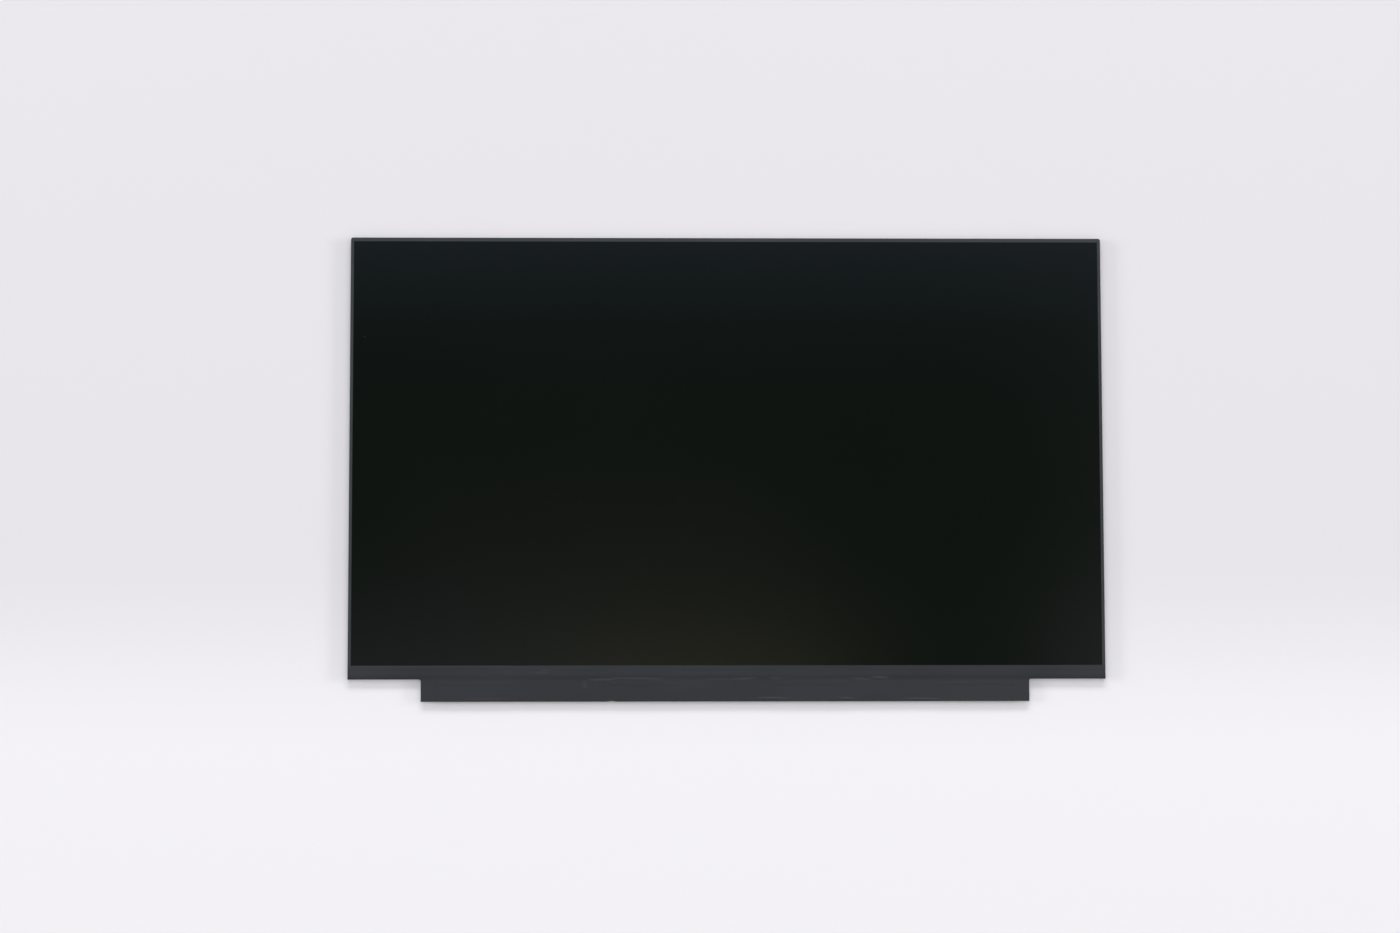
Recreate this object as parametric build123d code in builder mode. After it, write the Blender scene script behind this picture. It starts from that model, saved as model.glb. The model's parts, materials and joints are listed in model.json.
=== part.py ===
# Slim laptop screen panel: a glass liquid-crystal cell on an edge-lit backlight, lying on its back.
# The picture faces +Z and its upper edge is towards +Y. X runs to the right as the viewer sees it.
# The origin is the middle of the outline, on the lowest face of the back plate. Lengths are in mm.
from build123d import *
import os

os.makedirs("parts", exist_ok=True)

# Picture area, and the borders from it to the outline
active_width = 344.16
active_height = 193.59
side_border = 3.25
top_border = 3.55
bottom_border = 8.71

# Tab below the body that carries the control board, and the cut-away corners beside it
tab_drop = 10.30
left_notch = 33.73
right_notch = 35.43
notch_radius = 0.8

# Thicknesses, in the order of the stack from the rear
edge_tape_sheet = 0.06
plate_sheet = 0.35
field_depth = 0.12
reflector_sheet = 0.15
guide_sheet = 0.60
diffuser_sheet = 0.10
prism_sheet = 0.13
film_play = 0.03
rim_tape_sheet = 0.06
rear_polariser_sheet = 0.12
glass_sheet = 0.40
front_polariser_sheet = 0.14
cover_tape_sheet = 0.10

# Back plate, pressed from sheet with folded walls
plate_inner_bend = 0.20
corner_past_bend = 0.40
plate_wall_drop = 0.10
plate_corner_relief = 2.2
field_margin = 9.0
field_low_margin = 14.0
field_slope = 0.9
field_radius = 6.0

# Moulded frame that snaps into the plate's walls
frame_gap = 0.05
frame_wall = 1.0
snap_length = 6.0
snap_height = 0.50
snap_reach = 0.25
snap_rise = 0.30
snap_clearance = 0.15
side_snap_count = 3
side_snap_pitch = 62.0
long_snap_count = 4
long_snap_pitch = 74.0

# Light guide, films and the diodes along the lower edge
sheet_gap = 0.20
guide_ear_width = 6.0
guide_ear_reach = 0.45
guide_ear_up = 38.0
film_ear_width = 8.0
film_ear_reach = 0.45
film_ear_spacing = 190.0
mixing_length = 4.10
led_width = 3.8
led_depth = 1.0
led_pitch = 7.0
led_gap = 0.10
led_end_margin = 3.0
led_window_width = 3.0
led_window_rim = 0.12
led_window_depth = 0.30
rail_gap = 0.15
led_flex_sheet = 0.12
led_flex_lap = 2.0
led_flex_end_margin = 1.2
film_low_gap = 0.30
tail_width = 10.0
tail_lap = 3.2
tail_clearance = 0.5

# Liquid-crystal cell
glass_inset = 0.25
glass_corner_cut = 0.50
array_low_inset = 0.45
polariser_margin = 1.70
polariser_low_margin = 2.30
rear_polariser_inset = 0.50
filter_low_margin = 2.0
rim_window_margin = 0.70

# Driver chips on the glass ledge, and the films that join the glass to the board
driver_count = 4
driver_width = 32.0
driver_depth = 1.2
driver_height = 0.25
driver_gap = 0.50
source_flex_width = 34.0
source_flex_neck = 30.0
source_flex_sheet = 0.08
source_flex_glass_lap = 1.3
source_flex_board_lap = 1.7
source_flex_end_distance = 24.7

# Control board in the tab
board_sheet = 0.80
board_gap = 0.40
board_inset = 0.20
board_corner = 0.6
tooling_hole = 1.6
tooling_hole_inset = 3.4

# Parts soldered to the rear of the board
controller_size = 7.0
controller_height = 0.85
memory_width = 3.0
memory_depth = 2.0
memory_height = 0.60
memory_offset = 11.5
power_chip_size = 5.0
power_chip_height = 0.75
power_chip_offset = 3.0
led_driver_size = 4.0
led_driver_height = 0.75
led_driver_offset = 11.0
chip_edge = 0.08
inductor_size = 3.2
inductor_height = 1.10
inductor_corner = 0.5
inductor_offset = 6.2
boost_coil_offset = 11.0
diode_width = 0.9
diode_depth = 1.7
diode_height = 0.60
diode_gap = 1.0
bulk_width = 1.25
bulk_length = 2.0
bulk_height = 0.90
bulk_pitch = 2.7
bulk_gap = 0.5
passive_length = 1.0
passive_width = 0.50
passive_height = 0.45
resistor_height = 0.32
flex_row_count = 8
flex_row_pitch = 3.4
flex_row_inset = 1.3
column_count = 5
column_pitch = 1.35
column_gap = 1.2
signal_row_count = 10
signal_row_pitch = 1.6
signal_row_gap = 1.0

# Cable socket on the rear of the board, with its mouth towards the lower edge
socket_width = 20.4
socket_depth = 4.2
socket_height = 1.05
socket_inset = 0.30
socket_offset = 13.5
shell_sheet = 0.12
shell_bend = 0.10
shell_foot_reach = 1.3
shell_foot_length = 1.1
shell_back_step = 0.90
latch_window_width = 1.8
latch_window_depth = 0.9
latch_window_inset = 0.8
mouth_end_wall = 1.6
mouth_floor = 0.28
mouth_height = 0.42
mouth_depth = 2.9
contact_count = 30
contact_pitch = 0.50
contact_width = 0.20
contact_sheet = 0.10
contact_tail = 0.65
contact_front = 0.40

# Tapes
front_lap_gap = 0.10
rear_lap = 3.5
edge_bend = 0.16
cover_gap = 0.15
cover_past_driver = 0.40
cover_past_board_edge = 0.20
cover_step = 0.70

# Places across the panel
panel_width = active_width + 2 * side_border
half_width = panel_width / 2
body_height = active_height + top_border + bottom_border
top_y = (body_height + tab_drop) / 2
low_y = top_y - body_height
tab_low_y = low_y - tab_drop
tab_left = left_notch - half_width
tab_right = half_width - right_notch
active_half = active_width / 2
active_top_y = top_y - top_border
active_low_y = active_top_y - active_height

# Levels of the stack
rim_rear = field_depth
rim_front = rim_rear + plate_sheet
guide_rear = rim_front + reflector_sheet
films_rear = guide_rear + guide_sheet
lower_prism_rear = films_rear + diffuser_sheet
upper_prism_rear = lower_prism_rear + prism_sheet
upper_diffuser_rear = upper_prism_rear + prism_sheet
frame_front = upper_diffuser_rear + diffuser_sheet + film_play
cell_rear = frame_front + rim_tape_sheet
array_rear = cell_rear + rear_polariser_sheet
array_front = array_rear + glass_sheet
filter_front = array_front + glass_sheet
board_rear = array_front - board_sheet
lap_rear = rim_rear - edge_tape_sheet
lap_front = filter_front + edge_tape_sheet

# Edges of the plate, frame, guide and cell
plate_bend = plate_inner_bend + plate_sheet
plate_corner = plate_bend + corner_past_bend
plate_half = half_width - edge_tape_sheet
plate_top_y = top_y - edge_tape_sheet
plate_wall_front = frame_front - plate_wall_drop
frame_corner = plate_corner - plate_sheet - frame_gap
frame_half = plate_half - plate_sheet - frame_gap
frame_top_y = plate_top_y - plate_sheet - frame_gap
frame_low_y = low_y + plate_sheet + frame_gap
inner_half = frame_half - frame_wall
inner_top_y = frame_top_y - frame_wall
guide_half = inner_half - sheet_gap
guide_top_y = inner_top_y - sheet_gap
guide_low_y = active_low_y - mixing_length
led_high_y = guide_low_y - led_gap
led_low_y = led_high_y - led_depth
rail_y = led_low_y - rail_gap
led_flex_high_y = guide_low_y + led_flex_lap
film_low_y = led_flex_high_y + film_low_gap
glass_half = plate_half - glass_inset
glass_top_y = plate_top_y - glass_inset
array_low_y = low_y + array_low_inset
polariser_half = active_half + polariser_margin
polariser_top_y = active_top_y + polariser_margin
polariser_low_y = active_low_y - polariser_low_margin
filter_low_y = polariser_low_y - filter_low_margin
driver_high_y = filter_low_y - driver_gap
driver_low_y = driver_high_y - driver_depth

# Edges of the board and of what is on it
board_left = tab_left + board_inset
board_right = tab_right - board_inset
board_high_y = low_y - board_gap
board_low_y = tab_low_y + board_inset
board_mid_y = (board_high_y + board_low_y) / 2
first_flex_x = tab_left + source_flex_end_distance
last_flex_x = tab_right - source_flex_end_distance
flex_pitch = (last_flex_x - first_flex_x) / (driver_count - 1)
flex_places = [first_flex_x + flex_pitch * place for place in range(driver_count)]
source_flex_low_y = board_high_y - source_flex_board_lap
tail_x = (flex_places[-2] + flex_places[-1]) / 2
controller_x = (flex_places[0] + flex_places[-1]) / 2
power_chip_x = flex_places[-2] + power_chip_offset
socket_x = flex_places[0] + socket_offset
socket_low_y = board_low_y + socket_inset
socket_high_y = socket_low_y + socket_depth


def area(left, right, low, high, mode=Mode.ADD):
    """A rectangle between four edges, drawn in the open sketch."""
    with Locations(((left + right) / 2, (low + high) / 2)):
        Rectangle(right - left, high - low, mode=mode)


def block(left, right, low, high, rear, front, mode=Mode.ADD):
    """A straight-sided block between six faces, made in the open part."""
    with Locations(((left + right) / 2, (low + high) / 2, (rear + front) / 2)):
        Box(right - left, high - low, front - rear, mode=mode)


def keep(part, label):
    """Labels a finished piece and writes it to a file of its own."""
    part.label = label
    export_step(part, f"parts/{label}.step")


def sheet(label, half, low, high, rear, thickness, cut_corner=0):
    """A flat sheet or pane, with its corners cut off where they are on the real one."""
    with BuildPart() as pane:
        with BuildSketch(Plane.XY.offset(rear)) as outline:
            area(-half, half, low, high)
            if cut_corner:
                chamfer(outline.vertices(), cut_corner)
        extrude(amount=thickness)
    keep(pane.part, label)


def film(label, rear, thickness):
    """An optical film with the two ears that hang it in the frame's upper wall."""
    with BuildPart() as loose_film:
        with BuildSketch(Plane.XY.offset(rear)):
            area(-guide_half, guide_half, film_low_y, guide_top_y)
            for ear_x in (-film_ear_spacing / 2, film_ear_spacing / 2):
                left, right = ear_x - film_ear_width / 2, ear_x + film_ear_width / 2
                area(left, right, guide_top_y, guide_top_y + film_ear_reach)
        extrude(amount=thickness)
    keep(loose_film.part, label)


def snap_places():
    """Middle of each snap on the frame's outer faces, with the way that the face looks."""
    middle_y = (frame_low_y + frame_top_y) / 2
    for place in range(side_snap_count):
        y = middle_y + side_snap_pitch * (place - (side_snap_count - 1) / 2)
        yield -frame_half, y, -1, 0
        yield frame_half, y, 1, 0
    for place in range(long_snap_count):
        x = long_snap_pitch * (place - (long_snap_count - 1) / 2)
        yield x, frame_low_y, 0, -1
        yield x, frame_top_y, 0, 1


def snap_blocks(reach, clearance, mode):
    """Snaps that stand out of the frame by their reach, or with a clearance their windows."""
    along = snap_length / 2 + clearance
    rear = rim_front + snap_rise - clearance
    front = rim_front + snap_rise + snap_height + clearance
    for x, y, out_x, out_y in snap_places():
        far_x, far_y = x + out_x * (frame_gap + reach), y + out_y * (frame_gap + reach)
        spread_x, spread_y = along * abs(out_y), along * abs(out_x)
        block(min(x, far_x) - spread_x, max(x, far_x) + spread_x,
              min(y, far_y) - spread_y, max(y, far_y) + spread_y, rear, front, mode)


# Back plate: a pressed aluminium tray with folded walls, snap windows and a field pressed rearwards
field_low_y, field_top_y = low_y + field_low_margin, plate_top_y - field_margin
field_width, field_height = 2 * (plate_half - field_margin), field_top_y - field_low_y
field_middle = (0, (field_low_y + field_top_y) / 2)
with BuildPart() as back_plate:
    with BuildSketch(Plane.XY.offset(rim_rear)):
        area(-plate_half, plate_half, low_y, plate_top_y)
    extrude(amount=plate_wall_front - rim_rear)
    fillet(back_plate.edges().filter_by(Axis.Z), plate_corner)
    fillet(back_plate.faces().sort_by(Axis.Z)[0].edges(), plate_bend)
    offset(amount=-plate_sheet, openings=back_plate.faces().sort_by(Axis.Z)[-1])
    for corner_x in (-plate_half, plate_half):
        for corner_y in (low_y, plate_top_y):
            block(corner_x - plate_corner_relief, corner_x + plate_corner_relief,
                  corner_y - plate_corner_relief, corner_y + plate_corner_relief,
                  rim_front, plate_wall_front, Mode.SUBTRACT)
    snap_blocks(plate_sheet, snap_clearance, Mode.SUBTRACT)
    block(tail_x - tail_width / 2 - tail_clearance, tail_x + tail_width / 2 + tail_clearance,
          low_y, frame_low_y, min(films_rear, board_rear - led_flex_sheet) - snap_clearance,
          plate_wall_front, Mode.SUBTRACT)
    for level, spread in ((0, 0), (rim_rear, field_slope)):
        with BuildSketch(Plane.XY.offset(level)):
            with Locations(field_middle):
                RectangleRounded(field_width + 2 * spread, field_height + 2 * spread, field_radius + spread)
    loft()
    for level, spread in ((plate_sheet, 0), (rim_front, field_slope)):
        with BuildSketch(Plane.XY.offset(level)):
            with Locations(field_middle):
                RectangleRounded(field_width + 2 * spread, field_height + 2 * spread, field_radius + spread)
    loft(mode=Mode.SUBTRACT)
keep(back_plate.part, "back_plate")

# Moulded frame: a thin ring with snaps outside, and notches inside for the ears and the flex tail
with BuildPart() as mould_frame:
    with BuildSketch(Plane.XY.offset(rim_front)) as ring:
        area(-frame_half, frame_half, frame_low_y, frame_top_y)
        fillet(ring.vertices(), frame_corner)
        area(-inner_half, inner_half, rail_y, inner_top_y, Mode.SUBTRACT)
        for ear_x in (-film_ear_spacing / 2, film_ear_spacing / 2):
            left, right = ear_x - film_ear_width / 2 - sheet_gap, ear_x + film_ear_width / 2 + sheet_gap
            area(left, right, guide_top_y, inner_top_y + film_ear_reach, Mode.SUBTRACT)
        ear_low, ear_high = guide_ear_up - guide_ear_width / 2, guide_ear_up + guide_ear_width / 2
        reach = inner_half + guide_ear_reach
        area(-reach, reach, ear_low - sheet_gap, ear_high + sheet_gap, Mode.SUBTRACT)
    extrude(amount=frame_front - rim_front)
    lead_in_edges = mould_frame.faces().sort_by(Axis.Z)[0].outer_wire().edges()
    chamfer(lead_in_edges, plate_inner_bend + frame_gap)
    snap_blocks(snap_reach, 0, Mode.ADD)
    block(tail_x - tail_width / 2 - tail_clearance, tail_x + tail_width / 2 + tail_clearance,
          frame_low_y, rail_y, min(films_rear, board_rear - led_flex_sheet) - snap_clearance,
          frame_front, Mode.SUBTRACT)
keep(mould_frame.part, "mould_frame")

# Light guide with its two side ears, over the reflector
with BuildPart() as light_guide:
    with BuildSketch(Plane.XY.offset(guide_rear)):
        area(-guide_half, guide_half, guide_low_y, guide_top_y)
        reach = guide_half + guide_ear_reach
        area(-reach, reach, ear_low, ear_high)
    extrude(amount=guide_sheet)
keep(light_guide.part, "light_guide")
sheet("reflector_sheet", guide_half, rail_y + rail_gap, guide_top_y, rim_front, reflector_sheet)

# Optical films in their order from the light guide
film("lower_diffuser", films_rear, diffuser_sheet)
film("lower_prism_film", lower_prism_rear, prism_sheet)
film("upper_prism_film", upper_prism_rear, prism_sheet)
film("upper_diffuser", upper_diffuser_rear, diffuser_sheet)

# Light source: side-firing diodes that face the light guide's lower edge
led_count = int((2 * (guide_half - led_end_margin) - led_width) // led_pitch) + 1
led_middle = (0, (led_low_y + led_high_y) / 2, (guide_rear + films_rear) / 2)
with BuildPart() as backlight_leds:
    with Locations(led_middle):
        with GridLocations(led_pitch, 1, led_count, 1):
            Box(led_width, led_depth, guide_sheet)
    with Locations((0, led_high_y - led_window_depth / 2, led_middle[2])):
        with GridLocations(led_pitch, 1, led_count, 1):
            Box(led_window_width, led_window_depth, guide_sheet - 2 * led_window_rim, mode=Mode.SUBTRACT)
keep(backlight_leds.part, "backlight_leds")

# Light source flex: a strip over the diodes, with a tail that rises to the rear of the board
tail_rear = board_rear - led_flex_sheet
tail_path = [
    (led_high_y, films_rear),
    (rail_y - rail_gap, films_rear),
    (frame_low_y, tail_rear),
    (board_high_y - tail_lap, tail_rear),
]
with BuildPart() as led_flex:
    with BuildSketch(Plane.XY.offset(films_rear)):
        strip_half = guide_half - led_flex_end_margin
        area(-strip_half, strip_half, rail_y + rail_gap, led_flex_high_y)
    extrude(amount=led_flex_sheet)
    with BuildSketch(Plane.YZ.offset(tail_x)):
        with BuildLine():
            front_path = [(y, z + led_flex_sheet) for y, z in reversed(tail_path)]
            Polyline(tail_path + front_path, close=True)
        make_face()
    extrude(amount=tail_width / 2, both=True)
keep(led_flex.part, "led_flex")

# Rim tape: the black ring that bonds the cell to the frame
with BuildPart() as rim_tape:
    with BuildSketch(Plane.XY.offset(frame_front)):
        area(-frame_half, frame_half, frame_low_y, frame_top_y)
        window_half = active_half + rim_window_margin
        area(-window_half, window_half, active_low_y - rim_window_margin,
             active_top_y + rim_window_margin, Mode.SUBTRACT)
    extrude(amount=rim_tape_sheet)
keep(rim_tape.part, "rim_tape")

# Liquid-crystal cell: two panes between two polarisers
sheet("rear_polariser", glass_half - rear_polariser_inset, array_low_y + rear_polariser_inset,
      glass_top_y - rear_polariser_inset, cell_rear, rear_polariser_sheet)
sheet("array_glass", glass_half, array_low_y, glass_top_y, array_rear, glass_sheet, glass_corner_cut)
sheet("colour_filter_glass", glass_half, filter_low_y, glass_top_y, array_front, glass_sheet,
      glass_corner_cut)
sheet("front_polariser", polariser_half, polariser_low_y, polariser_top_y, filter_front,
      front_polariser_sheet)

# Driver chips bonded to the ledge of the array glass, and the flexes from the ledge to the board
for number, place in enumerate(flex_places, start=1):
    with BuildPart() as source_driver:
        block(place - driver_width / 2, place + driver_width / 2, driver_low_y, driver_high_y,
              array_front, array_front + driver_height)
    keep(source_driver.part, f"source_driver_{number}")
    with BuildPart() as source_flex:
        with BuildSketch(Plane.XY.offset(array_front)):
            area(place - source_flex_width / 2, place + source_flex_width / 2,
                 array_low_y, array_low_y + source_flex_glass_lap)
            area(place - source_flex_neck / 2, place + source_flex_neck / 2, source_flex_low_y, array_low_y)
            area(place - source_flex_width / 2, place + source_flex_width / 2,
                 source_flex_low_y, board_high_y)
        extrude(amount=source_flex_sheet)
    keep(source_flex.part, f"source_flex_{number}")

# Control board
with BuildPart() as control_board:
    with BuildSketch(Plane.XY.offset(board_rear)) as board_outline:
        area(board_left, board_right, board_low_y, board_high_y)
        fillet(board_outline.vertices(), board_corner)
        with Locations((board_left + tooling_hole_inset, board_mid_y),
                       (board_right - tooling_hole_inset, board_mid_y)):
            Circle(tooling_hole / 2, mode=Mode.SUBTRACT)
    extrude(amount=board_sheet)
keep(control_board.part, "control_board")


def chip(label, x, width, depth, height):
    """A moulded chip package on the rear of the board, with its outer edges broken."""
    with BuildPart() as package:
        with BuildSketch(Plane.XY.offset(board_rear)):
            with Locations((x, board_mid_y)):
                Rectangle(width, depth)
        extrude(amount=-height)
        chamfer(package.faces().sort_by(Axis.Z)[0].edges(), chip_edge)
    keep(package.part, label)


chip("timing_controller", controller_x, controller_size, controller_size, controller_height)
chip("memory_chip", controller_x - memory_offset, memory_width, memory_depth, memory_height)
chip("power_chip", power_chip_x, power_chip_size, power_chip_size, power_chip_height)
chip("led_driver_chip", tail_x - led_driver_offset, led_driver_size, led_driver_size, led_driver_height)

# Power inductors: moulded cubes with rounded corners
inductor_places = [
    (power_chip_x - inductor_offset, board_mid_y),
    (power_chip_x + inductor_offset, board_mid_y),
    (tail_x + boost_coil_offset, board_mid_y),
]
with BuildPart() as power_inductors:
    with BuildSketch(Plane.XY.offset(board_rear)):
        with Locations(inductor_places):
            RectangleRounded(inductor_size, inductor_size, inductor_corner)
    extrude(amount=-inductor_height)
    chamfer(power_inductors.faces().group_by(Axis.Z)[0].edges(), chip_edge)
keep(power_inductors.part, "power_inductors")

# Bulk capacitors beyond the power inductors, and the rectifier diode beyond the boost coil
bulk_x = inductor_offset + inductor_size / 2 + bulk_gap + bulk_width / 2
with BuildPart() as bulk_capacitors:
    with BuildSketch(Plane.XY.offset(board_rear)):
        with Locations((power_chip_x - bulk_x, board_mid_y), (power_chip_x + bulk_x, board_mid_y)):
            with GridLocations(1, bulk_pitch, 1, 2):
                Rectangle(bulk_width, bulk_length)
    extrude(amount=-bulk_height)
keep(bulk_capacitors.part, "bulk_capacitors")
diode_x = tail_x + boost_coil_offset + inductor_size / 2 + diode_gap + diode_width / 2
chip("rectifier_diode", diode_x, diode_width, diode_depth, diode_height)

# Small parts in rows: capacitors under the flexes and beside the socket, resistors beside the chips
column_x = controller_size / 2 + column_gap
with BuildPart() as ceramic_capacitors:
    with BuildSketch(Plane.XY.offset(board_rear)):
        with Locations([(place, board_high_y - flex_row_inset) for place in flex_places]):
            with GridLocations(flex_row_pitch, 1, flex_row_count, 1):
                Rectangle(passive_length, passive_width)
        with Locations((socket_x, socket_high_y + contact_tail + signal_row_gap)):
            with GridLocations(signal_row_pitch, 1, signal_row_count, 1):
                Rectangle(passive_width, passive_length)
    extrude(amount=-passive_height)
keep(ceramic_capacitors.part, "ceramic_capacitors")
with BuildPart() as chip_resistors:
    with BuildSketch(Plane.XY.offset(board_rear)):
        column_places = [controller_x - column_x, controller_x + column_x]
        with Locations([(place, board_mid_y) for place in column_places]):
            with GridLocations(1, column_pitch, 1, column_count):
                Rectangle(passive_length, passive_width)
    extrude(amount=-resistor_height)
keep(chip_resistors.part, "chip_resistors")

# Cable socket: moulded housing, springy contacts and a folded metal shell
housing_half = socket_width / 2 - shell_sheet
housing_rear = board_rear - socket_height + shell_sheet
mouth_half = housing_half - mouth_end_wall
mouth_front = board_rear - mouth_floor
contact_path = [
    (socket_low_y + contact_front, mouth_front - contact_sheet),
    (socket_high_y + contact_sheet, mouth_front - contact_sheet),
    (socket_high_y + contact_sheet, board_rear - contact_sheet),
    (socket_high_y + contact_tail, board_rear - contact_sheet),
    (socket_high_y + contact_tail, board_rear),
    (socket_high_y, board_rear),
    (socket_high_y, mouth_front),
    (socket_low_y + contact_front, mouth_front),
]
with BuildPart() as first_contact:
    with BuildSketch(Plane.YZ.offset(socket_x - contact_pitch * (contact_count - 1) / 2)):
        with BuildLine():
            Polyline(contact_path, close=True)
        make_face()
    extrude(amount=contact_width / 2, both=True)
with BuildPart() as signal_socket_contacts:
    with GridLocations(contact_pitch, 1, contact_count, 1, align=(Align.MIN, Align.CENTER)):
        add(first_contact.part)
keep(signal_socket_contacts.part, "signal_socket_contacts")
with BuildPart() as signal_socket_housing:
    block(socket_x - housing_half, socket_x + housing_half, socket_low_y, socket_high_y,
          housing_rear, board_rear)
    fillet(signal_socket_housing.faces().sort_by(Axis.Z)[0].edges().filter_by(Axis.Y), shell_bend)
    block(socket_x - mouth_half, socket_x + mouth_half, socket_low_y, socket_low_y + mouth_depth,
          mouth_front - mouth_height, mouth_front, Mode.SUBTRACT)
    add(signal_socket_contacts.part, mode=Mode.SUBTRACT)
keep(signal_socket_housing.part, "signal_socket_housing")
shell_half = socket_width / 2
shell_rear = board_rear - socket_height
shell_depth = socket_depth - shell_back_step
with BuildPart() as signal_socket_shell:
    with BuildSketch(Plane.XZ.offset(-socket_low_y)):
        with BuildLine():
            FilletPolyline((socket_x - shell_half, board_rear), (socket_x - shell_half, shell_rear),
                           (socket_x + shell_half, shell_rear), (socket_x + shell_half, board_rear),
                           radius=shell_bend + shell_sheet)
            offset(amount=shell_sheet, side=Side.LEFT)
        make_face()
    extrude(amount=-shell_depth)
    for foot_low_y in (socket_low_y, socket_low_y + shell_depth - shell_foot_length):
        for left in (socket_x - shell_half - shell_foot_reach, socket_x + shell_half):
            block(left, left + shell_foot_reach, foot_low_y, foot_low_y + shell_foot_length,
                  board_rear - shell_sheet, board_rear)
    latch_x = shell_half - latch_window_inset - latch_window_width / 2
    for window_x in (socket_x - latch_x, socket_x + latch_x):
        block(window_x - latch_window_width / 2, window_x + latch_window_width / 2,
              socket_low_y + latch_window_inset, socket_low_y + latch_window_inset + latch_window_depth,
              shell_rear, housing_rear, Mode.SUBTRACT)
keep(signal_socket_shell.part, "signal_socket_shell")

# Edge tapes: thin black tape folded round the sides and the top of the panel, cut from one skin
outline_bend = plate_bend + edge_tape_sheet
outline_corner = plate_corner + edge_tape_sheet
side_front_lap = half_width - polariser_half - front_lap_gap
top_front_lap = top_y - polariser_top_y - front_lap_gap
cover_high_y = polariser_low_y - cover_gap
with BuildPart() as tape_skin:
    with BuildSketch(Plane.XY.offset(lap_rear)) as skin_outline:
        area(-half_width, half_width, low_y, top_y)
        fillet(skin_outline.vertices().group_by(Axis.Y)[-1], outline_corner)
    extrude(amount=lap_front - lap_rear)
    fillet(tape_skin.faces().sort_by(Axis.Z)[0].edges().sort_by(Axis.Y)[1:], outline_bend)
    fillet(tape_skin.faces().sort_by(Axis.Z)[-1].edges().sort_by(Axis.Y)[1:], edge_bend)
    offset(amount=-edge_tape_sheet, openings=tape_skin.faces().sort_by(Axis.Y)[0])
    block(rear_lap - half_width, half_width - rear_lap, low_y, top_y - rear_lap,
          lap_rear, rim_rear, Mode.SUBTRACT)
    block(side_front_lap - half_width, half_width - side_front_lap, low_y, top_y - top_front_lap,
          filter_front, lap_front, Mode.SUBTRACT)


def top_tape_room(gap):
    """Where the upper tape lies: its wall and front lap round the corners, and its wider rear lap."""
    with BuildPart() as room:
        block(-half_width, half_width, top_y - top_front_lap - gap, top_y, lap_rear, lap_front)
        block(-half_width, half_width, top_y - rear_lap - gap, top_y, lap_rear, lap_rear + outline_bend)
    return room.part


with BuildPart() as top_edge_tape:
    add(tape_skin.part)
    add(top_tape_room(0), mode=Mode.INTERSECT)
keep(top_edge_tape.part, "top_edge_tape")
with BuildPart() as right_edge_tape:
    add(tape_skin.part)
    add(top_tape_room(front_lap_gap), mode=Mode.SUBTRACT)
    block(-half_width, 0, low_y, top_y, lap_rear, lap_front, Mode.SUBTRACT)
    block(half_width - rear_lap, plate_half, low_y, cover_high_y + front_lap_gap,
          filter_front - edge_bend, lap_front, Mode.SUBTRACT)
keep(right_edge_tape.part, "right_edge_tape")
with BuildPart() as left_edge_tape:
    mirror(right_edge_tape.part, about=Plane.YZ)
keep(left_edge_tape.part, "left_edge_tape")

# Cover tape: black film over the driver ledge, the flexes and the board, stepped down as it leaves them
flex_front = array_front + source_flex_sheet
cover_path = [
    (cover_high_y, filter_front),
    (driver_low_y - cover_past_driver, filter_front),
    (board_high_y - cover_past_board_edge, flex_front),
    (source_flex_low_y - cover_past_board_edge, flex_front),
    (source_flex_low_y - cover_past_board_edge - cover_step, array_front),
    (tab_low_y, array_front),
]
with BuildPart() as cover_tape:
    with BuildSketch(Plane.YZ):
        with BuildLine():
            cover_face = [(y, z + cover_tape_sheet) for y, z in reversed(cover_path)]
            Polyline(cover_path + cover_face, close=True)
        make_face()
    extrude(amount=plate_half, both=True)
    with BuildSketch() as cover_outline:
        area(-plate_half, plate_half, low_y, cover_high_y)
        area(tab_left, tab_right, tab_low_y, low_y)
        inner_corners = cover_outline.vertices().group_by(Axis.Y)[1].sort_by(Axis.X)[1:3]
        fillet(inner_corners, notch_radius)
    extrude(amount=filter_front + cover_tape_sheet, mode=Mode.INTERSECT)
keep(cover_tape.part, "cover_tape")
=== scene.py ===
# Finishes and fine shapes of a slim laptop screen panel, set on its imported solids. Lengths are in metres.
import json
import math

import bmesh
import bpy
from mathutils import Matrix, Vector, noise

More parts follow.
